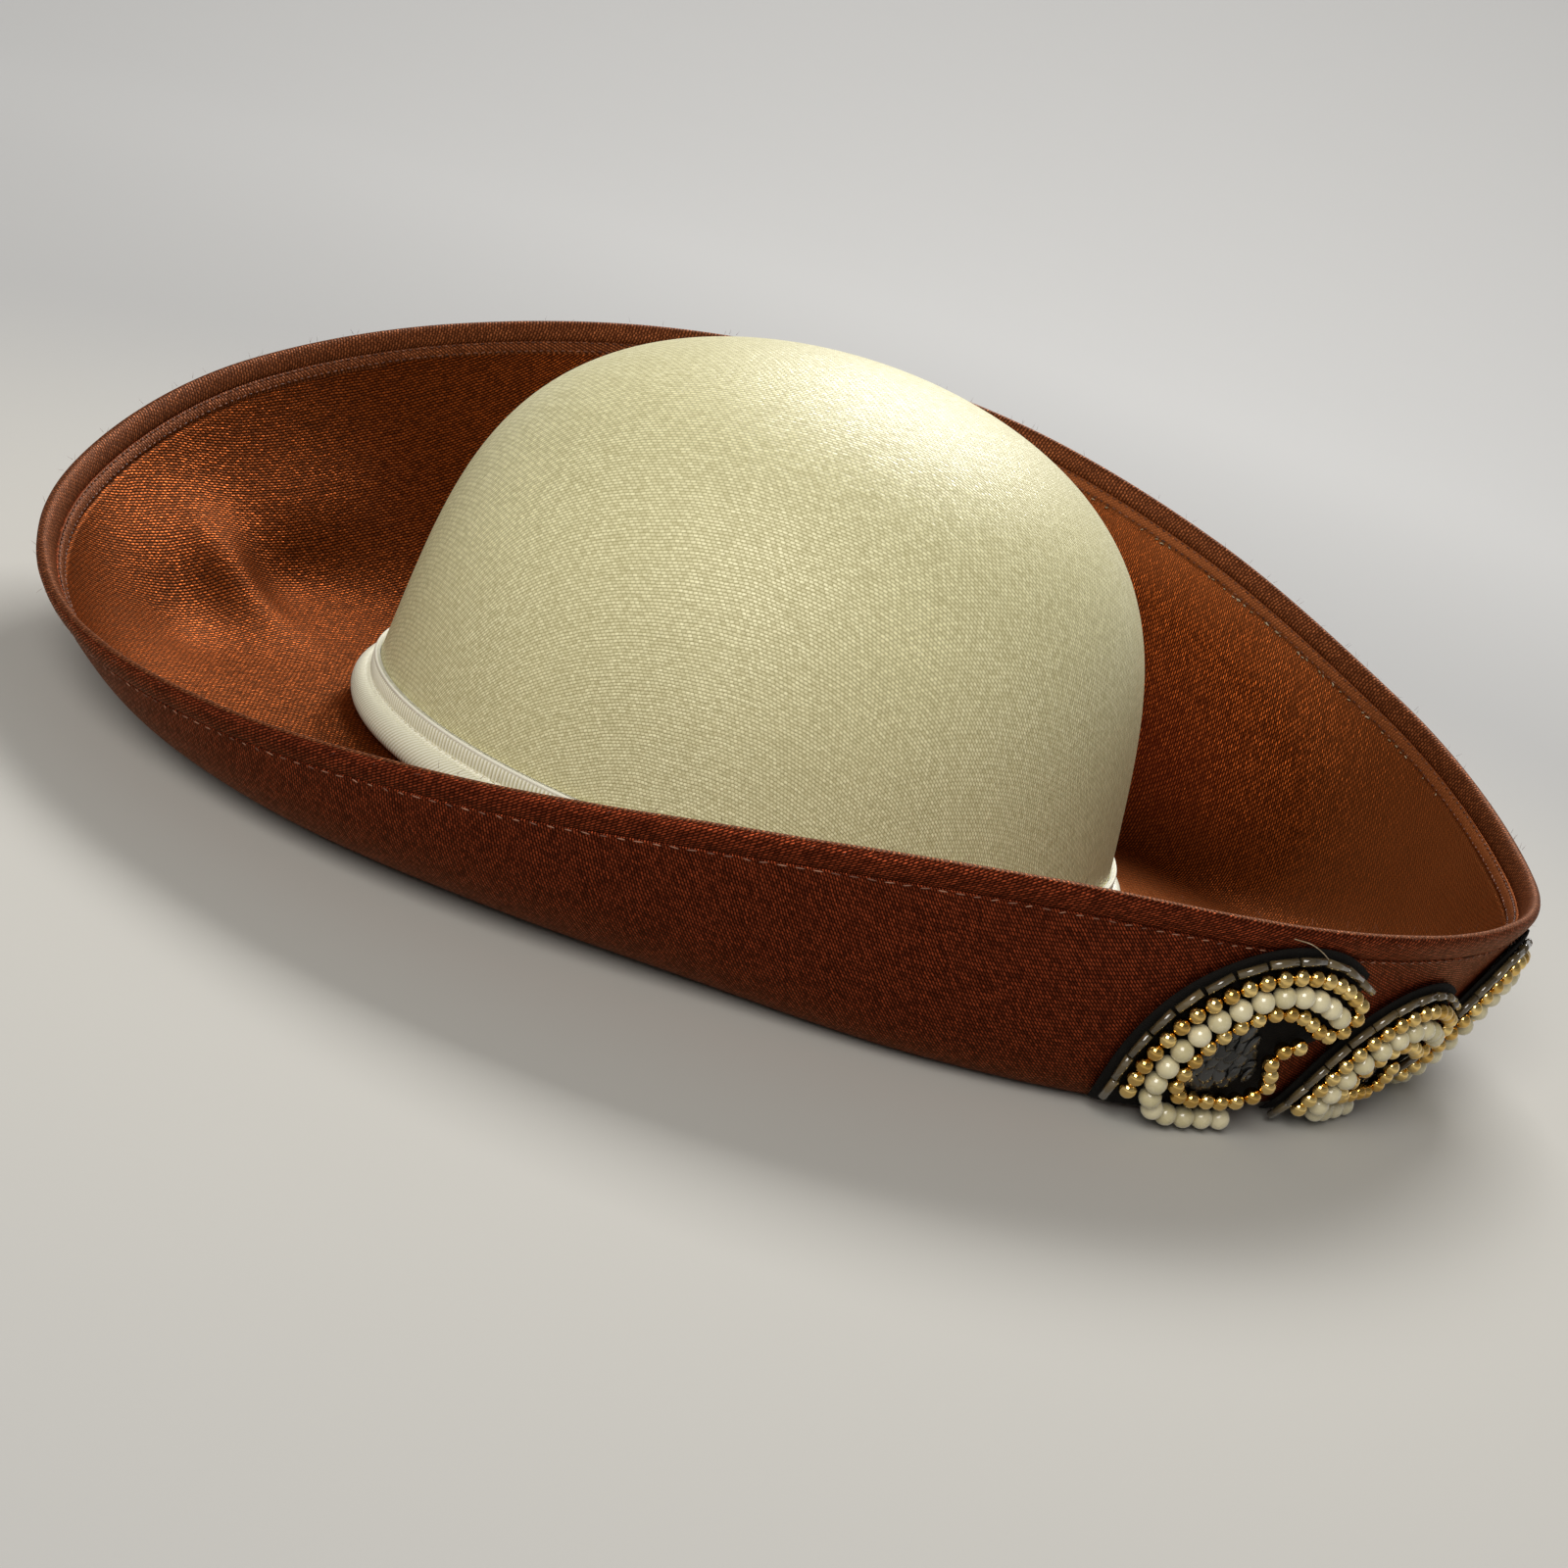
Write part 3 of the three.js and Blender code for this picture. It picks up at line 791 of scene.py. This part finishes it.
def ribTree():
    tree, board, start = newTree("bandRibs", [("Depth", "Float"), ("Material", "Material")])
    band = start.side("Geometry")
    normal = board.node("GeometryNodeInputNormal")
    lift = (board.named("phase") * 2).wave() * board.named("ribbed") * start.side("Depth")
    offset = board.node("ShaderNodeVectorMath", {"operation": "SCALE"}, {0: normal, "Scale": lift})
    moved = board.node("GeometryNodeSetPosition", None, {"Geometry": band, "Offset": offset})
    closeTree(board, moved, start.side("Material"))
    return tree


def buildBand():
    turn = turns(bandSize["ribs"] * bandSize["perRib"])
    profile = bandProfile()
    rings = np.stack([place(turn, headReach(turn, out), up) for out, up in profile[:, :2]])
    girth = stepLengths(np.concatenate([rings[0], rings[0][:1]]))
    up = np.append(stepLengths(profile[:, :2]), 0)
    flat = np.stack(np.broadcast_arrays(girth[None, :], up[:, None]), axis=-1)
    phase = turn / fullTurn * bandSize["ribs"] + profile[:, 3:] * bandSize["slant"]
    ribbed = np.broadcast_to(profile[:, 2:3], phase.shape)
    piece = loft("crownBand", rings, flat, finish["ivoryRibbon"], fields={"phase": phase, "ribbed": ribbed})
    return runTree(piece, ribTree(), {"Depth": bandSize["ribDepth"] * mm, "Material": finish["ivoryRibbon"]})


settle(buildBand(), "ivory_satin", "crown_band")
print("band: done")


# Stitches and frayed strands

stitchColumns = ("pitch", "length", "width", "height", "tilt", "down")
stitchRows = {
    "edgeStitchesOut": (3.6, 2.3, 0.36, 0.3, 0.16, 0.4),
    "edgeStitchesUpper": (2.3, 1.5, 0.42, 0.4, 0.2, 0.5),
    "edgeStitchesLower": (2.3, 1.6, 0.5, 0.45, 0.3, 3.0),
    "bandStitches": (2.6, 1.5, 0.42, 0.36, 0.1, 0),
}
stitchSeat = {"points": 900, "stretch": 0.97, "inside": 0.42, "outside": -0.02, "bandIn": 0.1, "bandUp": 0.5,
              "bandTip": 0.3}
speckSize = {"count": 52, "from": 12, "to": 74, "down": 3.75, "stray": 0.25, "step": 0.01, "length": 1.3,
             "width": 0.42, "height": 0.4, "tilt": 0.5}
fraySize = {"count": 170, "up": 6.1, "side": 1.2, "fall": 0.5, "length": 0.09, "width": 0.09, "height": 1.7,
            "tilt": 0.7}


def wallRow(turn, down, inside):
    # a line round the wall some way down from its top edge, and the way that face looks
    row, _, top = wallTop(turn)
    foot = np.hypot(top[0] - row["floor"], top[1])
    at, normal = wallLine(turn, 1 - down / foot * stitchSeat["stretch"])
    side = brimSize["wall"] + stitchSeat["inside"] if inside else stitchSeat["outside"]
    at = at + normal * side
    facing = spun(turn, normal[0], normal[1])
    return place(turn, at[0], at[1]), facing if inside else -facing


def closedRow(line, facing):
    return np.concatenate([line, line[:1]]), np.concatenate([facing, facing[:1]])


def buildStitches():
    turn = turns(stitchSeat["points"])
    edgeRows = (("edgeStitchesOut", False, "paleThread"), ("edgeStitchesUpper", True, "brownThread"),
                ("edgeStitchesLower", True, "brownThread"))
    for seed, (name, inside, thread) in enumerate(edgeRows, start=3):
        size = dict(zip(stitchColumns, stitchRows[name]))
        line, facing = closedRow(*wallRow(turn, size["down"], inside))
        settle(rowPiece(name, line, facing, thread, stitchRow, size, seed), "brown_satin")
    out = bandSize["face"] + bandSize["flange"] - stitchSeat["bandIn"]
    seam = bandSize["base"] + 2 * bandSize["rollUp"] + stitchSeat["bandUp"]
    line = place(turn, headReach(turn, out), seam)
    line, facing = closedRow(line, spun(turn, 1, stitchSeat["bandTip"]))
    size = dict(zip(stitchColumns, stitchRows["bandStitches"]))
    settle(rowPiece("bandStitches", line, facing, "ivoryThread", stitchRow, size, 9), "ivory_satin")


def buildSpecks():
    # pale thread ends under the strip, on the far side towards the front only
    draw = np.random.default_rng(8)
    size = speckSize
    turn = np.radians(np.sort(draw.uniform(size["from"], size["to"], size["count"])))
    line, facing = wallRow(turn, size["down"] + draw.uniform(-size["stray"], size["stray"], len(turn)), True)
    ahead, _ = wallRow(turn + size["step"], size["down"], True)
    piece = rowPiece("edgeSpecks", line, facing, "beigeThread", looseStitches, size, 17, ahead - line)
    settle(piece, "brown_satin")


def buildFray():
    draw = np.random.default_rng(12)
    size = fraySize
    turn = draw.uniform(0, fullTurn, size["count"])
    _, along, top = wallTop(turn)
    side = draw.uniform(-size["side"], size["side"], size["count"])
    normal = np.stack([-along[1], along[0]])
    at = top + along * (size["up"] - size["fall"] * side ** 2) + normal * (side + brimSize["wall"] / 2)
    lean = along + normal * side
    line = place(turn, at[0], at[1])
    run = np.stack([np.cos(turn), np.sin(turn), 0 * turn], axis=-1)
    facing = spun(turn, lean[0], lean[1])
    piece = rowPiece("edgeFray", line, facing, "brownThread", frayedStrands, size, 21, run)
    settle(piece, "brown_satin")


buildStitches()
buildSpecks()
buildFray()
print("stitches and strands: done")


# Beaded scroll on the near side of the brim

lobeRows = (    # turn, wide, tall, reach, share of the stem
    (303.1, 1.0, 1.0, 166, 1),
    (321.6, 0.8, 0.7, 175, 0.66),
    (336.8, 0.9, 0.86, 189, 0.92),
)
lobeFoot = 6.6
lobeLine = ((38, 6.6), (29, 6.6), (20.6, 7.2), (14.6, 11.6), (12.8, 20.3), (15.2, 29.4), (20.6, 36.2),
            (28, 40.6), (37, 40.6), (45.8, 36.3))
stemLine = ((39.4, 13.2), (41, 16.2), (39.2, 19.4), (36.8, 22.6), (37.2, 26), (41, 27.6))
openSide = ((45, 4.4), (45, 10.3), (44.6, 15.6), (42.8, 20), (41.4, 23.2), (45, 25.2), (53.4, 30.2))
lobeSteps = {"felt": 64, "pearl": 13, "bugle": 10, "field": 24}
feltSize = {"lift": 0.7, "thick": 1.0, "border": 10.4, "low": 3.8, "across": 25, "rim": 0.05, "rimUnder": 0.3,
            "rimOver": 0.4}
goldSize = {"pitch": 3.95, "length": 4.0, "width": 4.0, "height": 4.0, "tilt": 0.3, "offset": 4.9,
            "aside": 1.9}
goldPath = {"up": (0.34, 0.98, 10), "round": (15, 165, 6), "past": 1.0, "back": (0.98, 0.04, 14), "stem": 6}
pearlSize = {"pitch": 4.95, "length": 5.05, "width": 5.05, "height": 5.05, "tilt": 0.3}
bugleSize = {"pitch": 6.6, "length": 6.3, "width": 2.0, "height": 1.9, "tilt": 0.05, "offset": 8.2,
             "from": 0.335}
sequinSize = {"length": 6.2, "width": 4.2, "height": 0.5, "tilt": 0.24, "inset": 7.5, "thick": 1.2,
              "step": 2.3, "spacing": 1.25, "field": (0.06, 0.94), "fewest": 3, "start": 0.3, "stagger": 0.5,
              "stray": 0.4, "margin": 0.6, "lineShares": (0.16, 0.52), "stemShares": (0.24, 0.46),
              "seat": 0.45, "ahead": 0.2}
threadSize = {
    "line": ((25, 53), (29, 52.6), (32.5, 51.2), (35.5, 49.4)), "lift": (0.9, 2.6), "pitch": 0.4,
    "length": 0.8, "width": 0.24, "height": 0.24,
}


wayStep = 0.004


class FlatCurve:
    # a smooth line through table points, by share of its length
    def __init__(self, table, wide, tall):
        points = np.array([(x * wide, lobeFoot + (y - lobeFoot) * tall) for x, y in table])
        padded = np.vstack([points[:1], points, points[-1:]])
        fine = np.linspace(0, 1, 40, endpoint=False)[:, None]
        runs = [smoothStep(padded[i:i + 4], fine) for i in range(len(points) - 1)]
        self.line = np.vstack(runs + [points[-1:]])
        self.length = stepLengths(self.line)

    def at(self, share):
        far = np.asarray(share) * self.length[-1]
        return np.stack([np.interp(far, self.length, self.line[:, k]) for k in (0, 1)], axis=-1)

    def way(self, share):
        share = np.asarray(share)
        step = self.at(np.minimum(share + wayStep, 1)) - self.at(np.maximum(share - wayStep, 0))
        return step / np.linalg.norm(step, axis=-1, keepdims=True)

    def beside(self, share, offset):
        way = self.way(share)
        moved = self.at(share) + offset * np.stack([-way[..., 1], way[..., 0]], axis=-1)
        moved[..., 1] = np.maximum(moved[..., 1], feltSize["low"])
        return moved


def wallPoint(turn, height):
    share = np.linspace(0, 1, 60)
    line, _ = wallLine(turn[:, None] + 0 * share, share)
    reach = []
    for x, z, want in zip(line[0], line[1], height):
        past = max(0, want - z[-1]) * (x[-1] - x[-2]) / (z[-1] - z[-2])
        reach.append(np.interp(want, z, x) + past)
    return place(turn, np.array(reach), height)


def onWall(turn, height, lift):
    at = wallPoint(turn, height)
    facing = np.cross(wallPoint(turn + 0.01, height) - at, wallPoint(turn, height + 0.5) - at)
    facing = facing / np.linalg.norm(facing, axis=-1, keepdims=True)
    return at + facing * lift, facing


def smoothPath(points, fine=8):
    # centripetal Catmull-Rom through the points
    points = np.vstack([2 * points[0] - points[1], points, 2 * points[-1] - points[-2]])
    line = []
    for p in (points[i:i + 4] for i in range(len(points) - 3)):
        a, b, c = np.sqrt(np.linalg.norm(np.diff(p, axis=0), axis=1))
        leave = (p[1] - p[0]) / a - (p[2] - p[0]) / (a + b) + (p[2] - p[1]) / b
        arrive = (p[2] - p[1]) / b - (p[3] - p[1]) / (b + c) + (p[3] - p[2]) / c
        line += [hermite(p[1], p[2], leave * b, arrive * b, share) for share in np.arange(fine) / fine]
    return np.array(line + [points[-2]])


class Lobe:
    def __init__(self, row):
        turn, wide, tall, self.reach, self.stemShare = row
        self.start = math.radians(turn)
        self.line = FlatCurve(lobeLine, wide, tall)
        self.stem = FlatCurve(stemLine, wide, tall)
        self.open = FlatCurve(openSide, wide, tall)

    def seat(self, flat, lift):
        return onWall(self.start + flat[:, 0] / self.reach, flat[:, 1], lift)

    def path(self, flat, lift):
        line, facing = self.seat(flat, lift)
        return smoothPath(line), smoothPath(facing)

    def goldLine(self):
        # up outside the pearls, round the tip, back inside them and out along the stem
        tip = self.line.at(1.0)
        way = self.line.way(1.0)
        aside = np.array([-way[1], way[0]])
        angles = np.radians(np.linspace(*goldPath["round"]))
        offset = goldSize["offset"]
        past = goldPath["past"]
        bend = [tip + aside * offset * math.cos(a) + way * (past + offset * math.sin(a)) for a in angles]
        return np.vstack([
            self.line.beside(np.linspace(*goldPath["up"]), offset), bend,
            self.line.beside(np.linspace(*goldPath["back"]), -offset),
            self.stem.at(np.linspace(0, self.stemShare, goldPath["stem"]))])

    def felt(self, name):
        # a sheet from the border to the open side, its rim pressed thinner
        low = feltSize["lift"]
        thick = feltSize["thick"]
        edge = np.linspace(0, 1, lobeSteps["felt"])
        across = np.linspace(0, 1, feltSize["across"])[:, None, None]
        first = self.line.beside(edge, feltSize["border"])
        flat = first + (self.open.at(edge) - first) * across
        seats, facing = (spots.reshape(flat.shape[:2] + (3,)) for spots in self.seat(flat.reshape(-1, 2), 0))
        u, v = np.meshgrid(np.linspace(0, 1, flat.shape[1]), np.linspace(0, 1, flat.shape[0]))
        rim = np.clip(np.minimum(np.minimum(u, 1 - u), np.minimum(v, 1 - v)) / feltSize["rim"], 0, 1)
        under = seats + facing * (low + thick * feltSize["rimUnder"] * (1 - rim))[..., None]
        upper = seats + facing * (low + thick * (1 - feltSize["rimOver"] * (1 - rim)))[..., None]
        section = np.concatenate([under, upper[::-1]])
        rings = np.swapaxes(section, 0, 1)
        flatMap = np.zeros((rings.shape[0] + 1, rings.shape[1] + 1, 2))
        return loft(name, rings, flatMap, finish["blackFelt"], capped=True)


def sequinSpots(first, second):
    # staggered rows of scales over the field, each pointing up the row
    draw = np.random.default_rng(5)
    size = sequinSize
    spots = []
    ways = []
    depth = np.linalg.norm(first - second, axis=1).mean()
    rows = np.linspace(*size["field"], max(size["fewest"], int(depth / size["step"])))
    for k, across in enumerate(rows):
        edge = first + (second - first) * across
        length = stepLengths(edge)
        count = int(length[-1] / size["step"] / size["spacing"])
        share = (np.arange(count) + size["start"] + size["stagger"] * (k % 2)) / count * length[-1]
        share = share + draw.uniform(-size["stray"], size["stray"], count)
        share = np.clip(share, size["margin"], length[-1] - size["margin"])
        spots.append(np.stack([np.interp(share, length, edge[:, i]) for i in (0, 1)], axis=-1))
        ways.append(np.stack([np.gradient(spots[-1][:, i]) for i in (0, 1)], axis=-1))
    return np.vstack(spots), np.vstack(ways)


def buildLobe(number, row):
    lobe = Lobe(row)
    onFelt = feltSize["lift"] + feltSize["thick"] + brimSize["gap"]
    settle(lobe.felt(f"scrollFelt{number}"), "black_felt", f"scroll_backing_{number}")
    pearlLine = lobe.line.at(np.linspace(0, 1, lobeSteps["pearl"]))
    bugleShares = np.linspace(bugleSize["from"], 1, lobeSteps["bugle"])
    bugleLine = lobe.line.beside(bugleShares, bugleSize["offset"])
    rows = (
        ("goldBeads", "goldBead", "gold_bead", "gold_row", roundBeads, goldSize, lobe.goldLine()),
        ("pearls", "creamPearl", "cream_pearl", "pearl_row", pearlBeads, pearlSize, pearlLine),
        ("bugles", "smokyBugle", "smoky_bugle", "bugle_row", bugleBeads, bugleSize, bugleLine),
    )
    for name, material, slot, node, tree, size, flat in rows:
        line, facing = lobe.path(flat, onFelt + size["height"] / 2)
        piece = rowPiece(f"{name}{number}", line, facing, material, tree, size, number * 7)
        settle(piece, slot, f"{node}_{number}")
    fieldEdge = np.linspace(0, 1, lobeSteps["field"])
    lineFrom, lineRun = sequinSize["lineShares"]
    stemFrom, stemRun = sequinSize["stemShares"]
    first = lobe.line.beside(lineFrom + lineRun * fieldEdge, -sequinSize["inset"])
    clear = np.array([goldSize["width"] / 2 + goldSize["aside"], 0])
    second = lobe.stem.at(stemFrom + stemRun * fieldEdge) - clear
    spots, ways = sequinSpots(first, second)
    lift = onFelt + sequinSize["thick"] * sequinSize["seat"]
    seats, facing = lobe.seat(spots, lift)
    ahead, _ = lobe.seat(spots + sequinSize["ahead"] * ways, lift)
    scales = rowPiece(f"sequins{number}", seats, facing, "blackSequin", sequinScales, sequinSize, number * 5,
                      ahead - seats)
    settle(scales, "black_sequin", f"sequin_field_{number}")


def buildLooseThread():
    # one end that stands off the first lobe's top
    lobe = Lobe(lobeRows[0])
    line, facing = lobe.path(np.array(threadSize["line"]), 0)
    lift = np.linspace(*threadSize["lift"], len(line))[:, None]
    piece = rowPiece("looseThread", line + facing * lift, facing, "beigeThread", stitchRow, threadSize, 31)
    settle(piece, "black_felt")


for number, row in enumerate(lobeRows, start=1):
    buildLobe(number, row)
buildLooseThread()
print("scroll: done")


# Floor, light and camera

# near and far are floor colours with painted light near the hat and painted shade away from it
studio = {"middle": 0.05, "flat": 1.4, "bend": 1.0, "wall": 0.05, "near": (0.50, 0.488, 0.455, 1),
          "far": (0.37, 0.368, 0.365, 1), "paleFrom": 0.12, "paleTo": 0.55, "world": (0.97, 0.97, 0.97, 1),
          "worldStrength": 0.17, "lightAim": (0, 0, 0.05)}
lightRows = (    # name, towards the light from the hat, distance, wide, tall, power, colour
    ("backLight", (0.68, -0.14, 0.7), 2.4, 1.3, 0.9, 62, (1.0, 0.99, 0.97)),
    ("frontLight", (-0.75, 0.22, 0.6), 2.2, 1.2, 1.2, 36, (1.0, 0.97, 0.92)),
)
cameraSetup = {"aim": (-2.47, -3.54, 12.47), "distance": 612.2, "heading": -2.99, "dip": 17.47, "roll": 18.03,
               "lens": 54.0, "sensor": 36.0, "clip": 0.01}


def buildFloor():
    # level under the hat, rising into a soft wall well away from it
    angle = np.linspace(0, math.pi / 2, 17)
    line = [(r, 0.0) for r in np.linspace(studio["middle"], studio["flat"], 8)]
    for a in angle[1:]:
        line.append((studio["flat"] + studio["bend"] * math.sin(a), studio["bend"] * (1 - math.cos(a))))
    line.append((studio["flat"] + studio["bend"], studio["bend"] + studio["wall"]))
    turn = turns(96)
    points = np.vstack([np.zeros((1, 3))] + [spun(turn, r, z) for r, z in line])
    wide = len(turn)
    faces = [[0, 1 + j, 1 + (j + 1) % wide] for j in range(wide)]
    for i in range(len(line) - 1):
        for j in range(wide):
            a = 1 + i * wide + j
            b = 1 + i * wide + (j + 1) % wide
            faces.append([a, a + wide, b + wide, b])

    def sockets(board):
        where = board.node("ShaderNodeTexCoord", out="Object")
        cloud = board.noise(where, 3.0, 3.0)
        away = board.node("ShaderNodeVectorMath", {"operation": "LENGTH"}, {0: where}, out="Value")
        # the paper is paler near the hat and darker farther off: painted light lifting the hat's shade on the
        # floor near it, and painted shade where the lamps light it more
        pale = board.node("ShaderNodeMapRange", {"interpolation_type": "SMOOTHSTEP"}, {
            "Value": away, "From Min": studio["paleFrom"], "From Max": studio["paleTo"]})
        return {"Base Color": board.mix(pale * board.spread(cloud, 0.96, 1.0), studio["near"], studio["far"]),
                "Roughness": board.spread(cloud, 0.75, 0.9), "Specular IOR Level": 0.0}

    floor = newPiece("studioFloor", points / mm, faces, newMaterial("floorPaper", sockets))


def buildLights():
    world = bpy.data.worlds.new("studioWorld")
    world.use_nodes = True
    world.node_tree.nodes.clear()
    board = Board(world.node_tree)
    glow = {"Color": studio["world"], "Strength": studio["worldStrength"]}
    sky = board.node("ShaderNodeBackground", None, glow)
    board.node("ShaderNodeOutputWorld", None, {"Surface": sky})
    bpy.context.scene.world = world
    target = Vector(studio["lightAim"])
    for name, towards, distance, wide, tall, power, colour in lightRows:
        lamp = bpy.data.lights.new(name, "AREA")
        lamp.shape = "RECTANGLE"
        lamp.size = wide
        lamp.size_y = tall
        lamp.energy = power
        lamp.color = colour
        light = newObject(name, lamp)
        way = Vector(towards).normalized()
        light.location = target + way * distance
        light.rotation_euler = way.to_track_quat("Z", "Y").to_euler()


def buildCamera():
    setup = cameraSetup
    heading, dip, roll = (math.radians(setup[key]) for key in ("heading", "dip", "roll"))
    ahead = Vector((math.cos(dip) * math.cos(heading), math.cos(dip) * math.sin(heading), -math.sin(dip)))
    level = ahead.cross(Vector((0, 0, 1))).normalized()
    up = level.cross(ahead)
    right = level * math.cos(roll) + up * math.sin(roll)
    lens = bpy.data.cameras.new("photoCamera")
    lens.lens = setup["lens"]
    lens.sensor_width = setup["sensor"]
    lens.clip_start = setup["clip"]
    camera = newObject("photoCamera", lens)
    turned = Matrix((right, right.cross(ahead), -ahead)).transposed()
    spot = Vector(setup["aim"]) * mm - ahead * setup["distance"] * mm
    camera.matrix_world = Matrix.Translation(spot) @ turned.to_4x4()
    bpy.context.scene.camera = camera


buildFloor()
buildLights()
buildCamera()
bpy.context.scene.view_settings.view_transform = "Standard"
print("studio: done")
